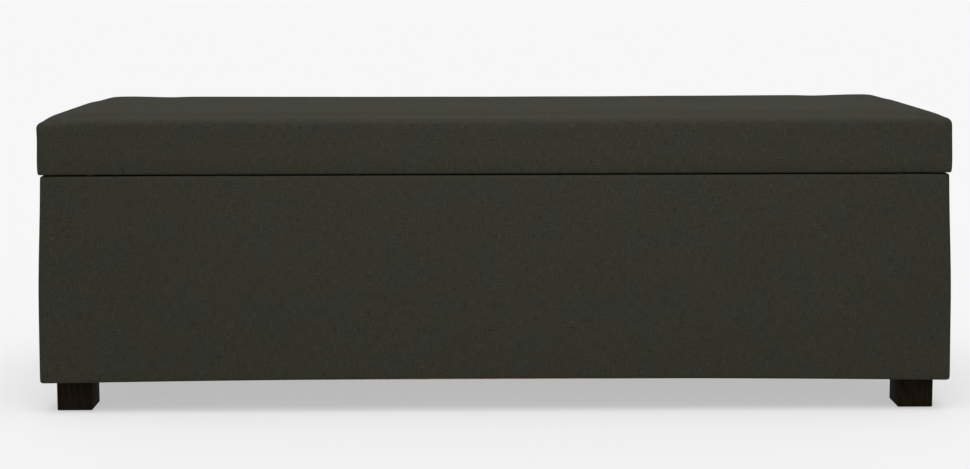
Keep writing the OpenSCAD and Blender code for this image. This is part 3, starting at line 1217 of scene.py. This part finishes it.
@dataclass
class BoxCover:
    """The box's cover over its wadding, with the turned rim and lower hem."""

    corner_radius: float = 0.0085
    top_radius: float = 0.0033
    hem_radius: float = 0.0040
    cell: float = 0.014
    thickness: float = 0.0012
    hem_rise: float = 0.005
    puff: float = 0.0010
    pull_in: float = 0.0036
    flare: float = 0.0046
    pull_height: float = 0.20
    waviness: float = 0.0007
    seam_inset: float = 0.016
    seam_depth: float = 0.0013
    seam_width: float = 0.0022
    wall: float = 0.022
    end_skin: float = 0.0095
    long_skin: float = 0.0045

    def __post_init__(self) -> None:
        """Reads the cover's space and the opening inside its rim."""
        self.low, self.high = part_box("base_cover")
        self.middle = (self.low + self.high) / 2
        self.half = (self.high - self.low) / 2
        self.open_low, self.open_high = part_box("storage_lining")
        post_low, post_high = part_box("corner_post_front_left")
        self.post = post_high - post_low

    def opening(self) -> tuple[list[float], list[float]]:
        """The storage opening's edges and its notches.

        Returns:
            Places on X, then on Y.
        """
        lining = 0.001
        xs = [self.open_low.x + lining, self.open_high.x - lining]
        ys = [self.open_low.y + lining, self.open_high.y - lining]
        xs += [xs[0] + self.post.x, xs[1] - self.post.x]
        ys += [ys[0] + self.post.y, ys[1] - self.post.y]
        return xs, ys

    def in_opening(self, p: Vector, xs: list[float], ys: list[float]) -> bool:
        """Whether a point of the rim lies over the storage space.

        Args:
            p: the point.
            xs: the opening's places on X.
            ys: the opening's places on Y.

        Returns:
            True if nothing but the space is below it.
        """
        inside = xs[0] < p.x < xs[1] and ys[0] < p.y < ys[1]
        past_x = p.x < xs[2] or p.x > xs[3]
        past_y = p.y < ys[2] or p.y > ys[3]
        return inside and not (past_x and past_y)

    def shell(self) -> bmesh.types.BMesh:
        """The cover's outer face.

        Returns:
            An open box with rounded edges, cut into even cells.
        """
        bm = bmesh.new()
        block(bm, self.low, self.high)
        rounded(bm, upright_edges(bm), self.corner_radius, 5)
        rounded(bm, rim_edges(bm, self.high.z), self.top_radius, 4)
        rounded(bm, rim_edges(bm, self.low.z), self.hem_radius, 3)
        xs, ys = self.opening()
        seams = line_cuts(self.high.x - self.seam_inset, 0.0015)
        under_x = [self.open_low.x, self.open_high.x]
        under_y = [self.open_low.y, self.open_high.y]
        bottom, top = self.low.z + 0.012, self.high.z - 0.012
        cut_across(bm, Axis.X, xs + under_x + seams)
        cut_across(bm, Axis.Y, ys + under_y)
        cut_across(bm, Axis.X, spread(xs[2], xs[3], self.cell))
        cut_across(bm, Axis.Y, spread(ys[2], ys[3], self.cell))
        cut_across(bm, Axis.Z, spread(bottom, top, self.cell))
        gone = [
            f
            for f in bm.faces
            if self._over_space(f.calc_center_median(), xs, ys, under_x, under_y)
        ]
        bmesh.ops.delete(bm, geom=gone, context="FACES")
        bmesh.ops.remove_doubles(bm, verts=bm.verts[:], dist=1e-5)
        return numbered(bm)

    def _over_space(
        self,
        p: Vector,
        xs: list[float],
        ys: list[float],
        under_x: list[float],
        under_y: list[float],
    ) -> bool:
        """Whether a face belongs to the storage opening or to the open underside.

        Args:
            p: the face's middle.
            xs: the opening's places on X.
            ys: the opening's places on Y.
            under_x: the lower hem's inner edges on X.
            under_y: the lower hem's inner edges on Y.

        Returns:
            True if the face is cut away.
        """
        if p.z > self.high.z - 1e-4:
            return self.in_opening(p, xs, ys)
        inside = under_x[0] < p.x < under_x[1] and under_y[0] < p.y < under_y[1]
        return p.z < self.low.z + 1e-4 and inside

    def settle(self, vertex: bmesh.types.BMVert) -> None:
        """Gives one point its arch, puff, seams and waviness.

        Args:
            vertex: the point.
        """
        p = vertex.co
        x, y = p.x, p.y
        up = (p.z - self.low.z) / (self.high.z - self.low.z)
        inward_y = self.half.y - abs(p.y - self.middle.y)
        on_end = abs(p.x) > self.half.x - self.end_skin
        if inward_y < self.wall:
            arch = self.hem_rise * (1.0 - (x / self.half.x) ** 2)
            p.z += arch * (1.0 - up)
        belly = math.sin(math.pi * min(max(up, 0.0), 1.0)) * self.puff
        face = math.copysign(1.0, y - self.middle.y)
        end = math.copysign(1.0, x)
        if inward_y < self.long_skin:
            wave = self.waviness * ripple(p, 0.22, 3.0) * 4 * up * (1 - up)
            p.y += face * (belly + wave)
            self._seam(p, x, face)
        if on_end:
            pulled = self.pull_in * fade(self.high.z - p.z, self.pull_height)
            p.x += end * (belly * 0.6 - pulled + 0.0004 * ripple(p, 0.15, 8.0))
            p.x += end * self.flare * (1.0 - up)
        if up > 0.97 and (inward_y < self.long_skin or on_end):
            p.z += 0.5 * self.waviness * ripple(Vector((x, y, 0.0)), 0.18, 6.0)

    def _seam(self, p: Vector, x: float, face: float) -> None:
        """Presses the two sewn seams into the back.

        Args:
            p: the point, which is moved.
            x: its place along the bench before it was settled.
            face: 1 on the back and -1 on the front.
        """
        if face > 0:
            gap = abs(x) - (self.high.x - self.seam_inset)
            p.y -= self.seam_depth * fade(gap, self.seam_width)

    def build(self) -> bpy.types.Object:
        """Makes the cover.

        Returns:
            The padded piece.
        """
        bm = self.shell()
        lay_cloth(bm, self._unrolled)
        for vertex in bm.verts:
            self.settle(vertex)
        piece = make_piece(bm, "box_cover", LINEN)
        subdivided(piece)
        thickened(piece, self.thickness)
        walls = [f"wadding_{side}" for side in ("front", "rear", "left", "right")]
        installed(piece, "base", "cover_fabric", "base_cover", *walls)
        return piece

    def _unrolled(self, face: bmesh.types.BMFace, p: Vector) -> Pair:
        """Where a point lies on the cloth that is wrapped round the box.

        Args:
            face: the point's face.
            p: the point.

        Returns:
            Metres round the box and up it.
        """
        length, depth = 2 * self.half.x, 2 * self.half.y
        centre = face.calc_center_median()
        gap_x = self.half.x - abs(centre.x)
        gap_y = self.half.y - abs(centre.y - self.middle.y)
        on_end = gap_x < gap_y
        inward_x = self.half.x - abs(p.x)
        inward_y = self.half.y - abs(p.y - self.middle.y)
        inward = inward_x if on_end else inward_y
        up = p.z + math.copysign(inward, centre.z - self.middle.z)
        if on_end:
            along = math.copysign(self.half.x + p.y - self.low.y, centre.x)
        elif centre.y > self.middle.y:
            along = length + depth - p.x
        else:
            along = p.x
        return along, up


@dataclass
class StorageLining:
    """The cloth lining of the storage space."""

    thickness: float = 0.001
    corner_radius: float = 0.004
    fold_angle: float = 1.0
    cell: float = 0.035
    margin: float = 0.02
    slackness: float = 0.0009

    def __post_init__(self) -> None:
        """Reads the storage space and its corner posts."""
        self.low, self.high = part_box("storage_lining")
        post_low, post_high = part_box("corner_post_front_left")
        self.post = (post_high - post_low).x
        thick = self.thickness
        self.inner_low = self.low + Vector((thick, thick, thick))
        self.inner_high = self.high - Vector((thick, thick, 0.0))

    def shell(self) -> bmesh.types.BMesh:
        """The lining's inner face.

        Returns:
            An open tray with a notch at each corner, its faces inwards.
        """
        low, high = self.inner_low, self.inner_high
        bm = flat_face(low, high)
        notch_x = [low.x + self.post, high.x - self.post]
        notch_y = [low.y + self.post, high.y - self.post]
        cut_across(bm, Axis.X, notch_x + spread(*notch_x, self.cell))
        cut_across(bm, Axis.Y, notch_y + spread(*notch_y, self.cell))
        corners = [
            f
            for f in bm.faces
            if not notch_x[0] < f.calc_center_median().x < notch_x[1]
            and not notch_y[0] < f.calc_center_median().y < notch_y[1]
        ]
        bmesh.ops.delete(bm, geom=corners, context="FACES")
        depth = high.z - low.z
        steps = max(2, round(depth / self.cell))
        rim = [e for e in bm.edges if e.is_boundary]
        for _ in range(steps):
            grown = bmesh.ops.extrude_edge_only(bm, edges=rim)["geom"]
            raised = [g for g in grown if isinstance(g, bmesh.types.BMVert)]
            bmesh.ops.translate(bm, verts=raised, vec=(0.0, 0.0, depth / steps))
            rim = [g for g in grown if isinstance(g, bmesh.types.BMEdge)]
        bmesh.ops.recalc_face_normals(bm, faces=bm.faces[:])
        floor_face = min(bm.faces, key=lambda f: f.calc_center_median().z)
        if floor_face.normal.z < 0:
            bmesh.ops.reverse_faces(bm, faces=bm.faces[:])
        inner = [e for e in bm.edges if len(e.link_faces) == 2]
        folds = [e for e in inner if e.calc_face_angle() > self.fold_angle]
        rounded(bm, folds, self.corner_radius, 3)
        return numbered(bm)

    def settle(self, vertex: bmesh.types.BMVert) -> None:
        """Lets one point of the floor or of a long wall stand off a little.

        Args:
            vertex: the point.
        """
        p = vertex.co
        swell = self.slackness * (0.5 + 0.5 * ripple(p, 0.11, 4.0))
        past_post = self.inner_high.x - self.post - self.margin
        if p.z < self.inner_low.z + 1e-5:
            p.z += swell * 1.6
        elif abs(p.x) < past_post and p.z < self.high.z - self.margin:
            middle = (self.inner_low.y + self.inner_high.y) / 2
            p.y -= math.copysign(swell * 1.5, p.y - middle)

    def build(self) -> bpy.types.Object:
        """Makes the lining.

        Returns:
            The sheet.
        """
        bm = self.shell()
        bm.normal_update()
        lay_cloth(bm, self._unfolded)
        for vertex in bm.verts:
            self.settle(vertex)
        piece = make_piece(bm, "storage_lining_cloth", LINING)
        subdivided(piece)
        thickened(piece, self.thickness)
        installed(piece, "base", "lining_fabric", "storage_lining")
        return piece

    def _unfolded(self, face: bmesh.types.BMFace, p: Vector) -> Pair:
        """Where a point of the floor, an end or a long wall lies on the cloth.

        Args:
            face: the point's face.
            p: the point.

        Returns:
            Its place on the cloth, in metres.
        """
        n = face.normal
        if abs(n.z) > 0.7:
            return p.x, p.y
        if abs(n.x) > abs(n.y):
            return p.y + 2.0, p.z
        return p.x, p.z - 1.0


@dataclass
class Staples:
    """A row of staples round a sheet."""

    crown: float = 0.0106
    wire: float = 0.0013
    proud: float = 0.0005
    spacing: float = 0.042
    inset: float = 0.008
    end_inset: float = 0.014
    edge_radius: float = 0.0003
    stray_along: float = 0.003
    stray_across: float = 0.0012
    stray_turn: float = 0.12

    def row(
        self, low: Vector, high: Vector, free: SpotTest
    ) -> list[tuple[Vector, float]]:
        """Places round the edge of a sheet.

        Args:
            low: the sheet's lowest corner.
            high: its highest corner.
            free: says whether a staple fits at a point.

        Returns:
            Each staple's middle and its turn about Z.
        """
        shaky = random.Random(20)
        found = []
        for axis in (Axis.X, Axis.Y):
            along, across = axis.value, 1 - axis.value
            start = low[along] + self.end_inset
            end = high[along] - self.end_inset
            count = round((end - start) / self.spacing)
            for edge in (low[across] + self.inset, high[across] - self.inset):
                for i in range(count + 1):
                    middle = Vector((0.0, 0.0, low.z))
                    middle[along] = start + (end - start) * i / count
                    middle[along] += self._stray(shaky, self.stray_along)
                    middle[across] = edge + self._stray(shaky, self.stray_across)
                    turn = self._stray(shaky, self.stray_turn) + along * math.pi / 2
                    if free(middle):
                        found.append((middle, turn))
        return found

    def _stray(self, shaky: random.Random, most: float) -> float:
        """An uneven hand's error, at most this much either way."""
        return shaky.uniform(-most, most)

    def build(
        self, name: str, body: str, low: Vector, high: Vector, free: SpotTest
    ) -> bpy.types.Object:
        """Makes the staples that hold one sheet from below.

        Args:
            name: the piece's name.
            body: the body that it rides on.
            low: the sheet's lowest corner.
            high: its highest corner.
            free: says whether a staple fits at a point.

        Returns:
            All the staples as one piece.
        """
        size = Vector((self.crown, self.wire, self.proud * 2)) / 2
        one = bmesh.new()
        block(one, -size, size)
        rounded(one, one.edges[:], self.edge_radius, 1)
        pattern = bpy.data.meshes.new("staple_pattern")
        one.to_mesh(pattern)
        one.free()
        bm = bmesh.new()
        for middle, turn in self.row(low, high, free):
            already = len(bm.verts)
            bm.from_mesh(pattern)
            bm.verts.ensure_lookup_table()
            place = Matrix.Translation(middle) @ Matrix.Rotation(turn, 4, "Z")
            bmesh.ops.transform(bm, matrix=place, verts=bm.verts[already:])
        bpy.data.meshes.remove(pattern)
        piece = make_piece(bm, name, ZINC)
        piece.data.set_sharp_from_angle(angle=0.5)
        return installed(piece, body, "zinc_steel")


@dataclass
class BackingSheet:
    """A thin cloth sheet stapled under the lid or under the box."""

    node: str
    body: str
    name: str
    sag: float = 0.0003
    hem: float = 0.014
    hem_step: float = 0.0002
    fold: float = 0.0012
    fullness: float = 0.7
    cell: float = 0.03

    def __post_init__(self) -> None:
        """Reads the sheet's space."""
        self.low, self.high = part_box(self.node)

    def build(self, free: SpotTest = lambda p: True) -> bpy.types.Object:
        """Makes the sheet, with its edge folded under, and its staples.

        Args:
            free: says whether a staple fits at a point.

        Returns:
            The sheet.
        """
        bm = flat_face(self.low, self.high)
        fold = [self.hem - self.fold, self.hem + self.fold]
        for axis in (Axis.X, Axis.Y):
            low, high = self.low[axis.value], self.high[axis.value]
            cut_across(bm, axis, [low + f for f in fold] + [high - f for f in fold])
            cut_across(bm, axis, spread(low + self.hem, high - self.hem, self.cell))
        bmesh.ops.reverse_faces(bm, faces=bm.faces[:])
        lay_cloth(bm, lambda face, p: (p.x, p.y))
        for vertex in bm.verts:
            self.settle(vertex)
        size = self.high - self.low
        piece = make_piece(bm, self.name, BACKING)
        subdivided(piece)
        thickened(piece, size.z * self.fullness)
        installed(piece, self.body, "backing_fabric", self.node)
        Staples().build(f"{self.name}_staples", self.body, self.low, self.high, free)
        return piece

    def settle(self, vertex: bmesh.types.BMVert) -> None:
        """Lets one point inside the hem sag.

        Args:
            vertex: the point.
        """
        p = vertex.co
        half, middle = (self.high - self.low) / 2, (self.low + self.high) / 2
        edge = min(half.x - abs(p.x - middle.x), half.y - abs(p.y - middle.y))
        if edge >= self.hem:
            p.z += self.hem_step - self.sag * (0.5 + 0.5 * ripple(p, 0.09, 7.0))


@dataclass
class Feet:
    """The four square feet."""

    edge_radius: float = 0.0014
    base_chamfer: float = 0.0022
    top_chamfer: float = 0.0006

    def build(self) -> None:
        """Makes the feet, each as one piece."""
        for node in FEET:
            self.foot(node)

    def foot(self, node: str) -> bpy.types.Object:
        """One foot.

        Args:
            node: the CAD foot that it stands for.

        Returns:
            The piece.
        """
        low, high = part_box(node)
        bm = bmesh.new()
        block(bm, low, high)
        rounded(bm, upright_edges(bm), self.edge_radius, 2)
        rounded(bm, rim_edges(bm, low.z), self.base_chamfer, 2)
        rounded(bm, rim_edges(bm, high.z), self.top_chamfer, 1)
        piece = make_piece(bm, f"{node}_stained", WENGE)
        piece.data.set_sharp_from_angle(angle=math.radians(25))
        return installed(piece, "base", "foot_wood", node)


@dataclass
class KeptParts:
    """CAD parts that keep their shapes and only get a finish."""

    def finish_of(self, name: str) -> Finish | None:
        """The finish of one node, or None if it isn't one of these parts."""
        raise NotImplementedError

    def dress(self) -> None:
        """Gives each of the parts its finish."""
        for name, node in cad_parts.items():
            finish = self.finish_of(name)
            if finish is not None:
                node.data.materials.clear()
                node.data.materials.append(finish.material())
                log.info("%s: %s", name, finish.name)


@dataclass
class Carcass(KeptParts):
    """The wooden parts."""

    def finish_of(self, name: str) -> Finish | None:
        """The finish of a wooden node.

        Args:
            name: the CAD node's name.

        Returns:
            Its finish, or None if it isn't wood.
        """
        if name.endswith("side_panel"):
            return PANEL_CROSS
        if name.endswith("_panel") or name == "lid_board":
            return PANEL_LONG
        if name.startswith("corner_post"):
            return POST
        if name.startswith(("ledger", "foot_block")):
            return BATTEN
        return None


@dataclass
class Fittings(KeptParts):
    """The metal, rubber and plastic parts."""

    def finish_of(self, name: str) -> Finish | None:
        """The finish of a fitting.

        Args:
            name: the CAD node's name.

        Returns:
            Its finish, or None if it isn't a fitting.
        """
        if name == "lid_bumpers":
            return RUBBER
        if name == "foot_glides":
            return GLIDE
        if name.endswith(("screws", "bolts", "nuts")):
            return ZINC
        if name.startswith("hinge"):
            return NICKEL
        if name.startswith("stay"):
            return STAY_STEEL
        return None


@dataclass
class Studio:
    """Floor, lights and camera."""

    floor_size: float = 60.0
    backdrop: float = 0.93
    horizon: float = 0.50
    zenith: float = 0.62
    overhead: float = 2.25
    overhead_tilt: float = 14.0
    overhead_spread: float = 55.0
    dome_range: Pair = (0.12, 0.95)
    front_place: Triple = (0.1, -1.2, 1.3)
    front_aim: Triple = (0.05, -0.2, 0.3)
    front_size: Pair = (0.6, 0.4)
    front_watts: float = 9.0
    camera_place: Triple = (-0.0372, -2.7779, 0.6771)
    camera_turn: Triple = (90.0 - 5.448, 0.1213, -0.4858)
    lens: float = 63.101
    shift_y: float = -0.105

    def floor(self) -> bpy.types.Object:
        """Lays the floor.

        Returns:
            The floor.
        """
        bm = bmesh.new()
        bmesh.ops.create_grid(bm, x_segments=2, y_segments=2, size=self.floor_size / 2)
        floor = make_piece(bm, "studio_floor", FLOOR)
        return floor

    def sky(self) -> None:
        """Surrounds the scene with a pale dome that is brightest overhead."""
        world = bpy.data.worlds.new("studio_dome")
        world.use_nodes = True
        bpy.context.scene.world = world
        sheet = NodeSheet(world.node_tree)
        way = sheet.node("ShaderNodeTexCoord", output="Generated")
        up = sheet.node("ShaderNodeSeparateXYZ", {}, {0: way}, output=2)
        height = up.rise(*self.dome_range)
        level = self.horizon + height * (self.zenith - self.horizon)
        seen = sheet.node("ShaderNodeLightPath", output="Is Camera Ray")
        shown = level + seen * (self.backdrop - level)
        light = sheet.node(
            "ShaderNodeBackground", {}, {"Color": (1, 1, 1, 1), "Strength": shown}
        )
        sheet.node("ShaderNodeOutputWorld", {}, {"Surface": light})

    def overhead_light(self) -> None:
        """Hangs a broad soft light high over the front."""
        data = bpy.data.lights.new("overhead", "SUN")
        data.energy = self.overhead
        data.angle = math.radians(self.overhead_spread)
        lamp = bpy.data.objects.new("overhead", data)
        lamp.rotation_euler = (math.radians(self.overhead_tilt), 0.0, 0.0)
        bpy.context.scene.collection.objects.link(lamp)

    def front_box(self) -> bpy.types.Object:
        """Hangs a soft box in front of the bench.

        Returns:
            The lamp.
        """
        data = bpy.data.lights.new("front_box", "AREA")
        data.shape = "RECTANGLE"
        data.size, data.size_y = self.front_size
        data.energy = self.front_watts
        lamp = bpy.data.objects.new("front_box", data)
        lamp.location = self.front_place
        away = Vector(self.front_place) - Vector(self.front_aim)
        lamp.rotation_euler = away.to_track_quat("Z", "Y").to_euler()
        bpy.context.scene.collection.objects.link(lamp)
        return lamp

    def spare(self, lamp: bpy.types.Object, thing: bpy.types.Object) -> None:
        """Keeps one lamp's light off one thing, here to leave the floor even.

        Args:
            lamp: the lamp.
            thing: what it doesn't light.
        """
        spared = bpy.data.collections.new(f"{lamp.name}_spares")
        spared.objects.link(thing)
        lamp.light_linking.receiver_collection = spared
        spared.collection_objects[0].light_linking.link_state = "EXCLUDE"

    def camera(self) -> None:
        """Sets up the camera."""
        data = bpy.data.cameras.new("camera")
        data.lens = self.lens
        data.sensor_width = 36.0
        data.shift_y = self.shift_y
        data.clip_start, data.clip_end = 0.05, 200.0
        eye = bpy.data.objects.new("camera", data)
        eye.location = self.camera_place
        eye.rotation_euler = tuple(math.radians(a) for a in self.camera_turn)
        bpy.context.scene.collection.objects.link(eye)
        bpy.context.scene.camera = eye

    def build(self) -> None:
        """Sets up the whole studio."""
        floor = self.floor()
        self.sky()
        self.overhead_light()
        self.spare(self.front_box(), floor)
        self.camera()
        bpy.context.scene.view_settings.view_transform = "Standard"


def clear_of_feet(p: Vector) -> bool:
    """Whether a point under the box is beside every foot.

    Args:
        p: the point.

    Returns:
        True if a staple fits there.
    """
    margin = 0.009
    for node in FEET:
        low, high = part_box(node)
        in_x = low.x - margin < p.x < high.x + margin
        if in_x and low.y - margin < p.y < high.y + margin:
            return False
    return True


def main() -> None:
    """Builds the bench and its studio."""
    logging.basicConfig(level=logging.INFO, format="%(name)s: %(message)s")
    Studio().build()
    Carcass().dress()
    Fittings().dress()
    Feet().build()
    BoxCover().build()
    StorageLining().build()
    BackingSheet("dust_cover", "base", "dust_cover_cloth").build(clear_of_feet)
    BackingSheet("lid_lining", "lid", "lid_lining_cloth").build()
    LidCushion().build()


if __name__ == "__main__":
    main()
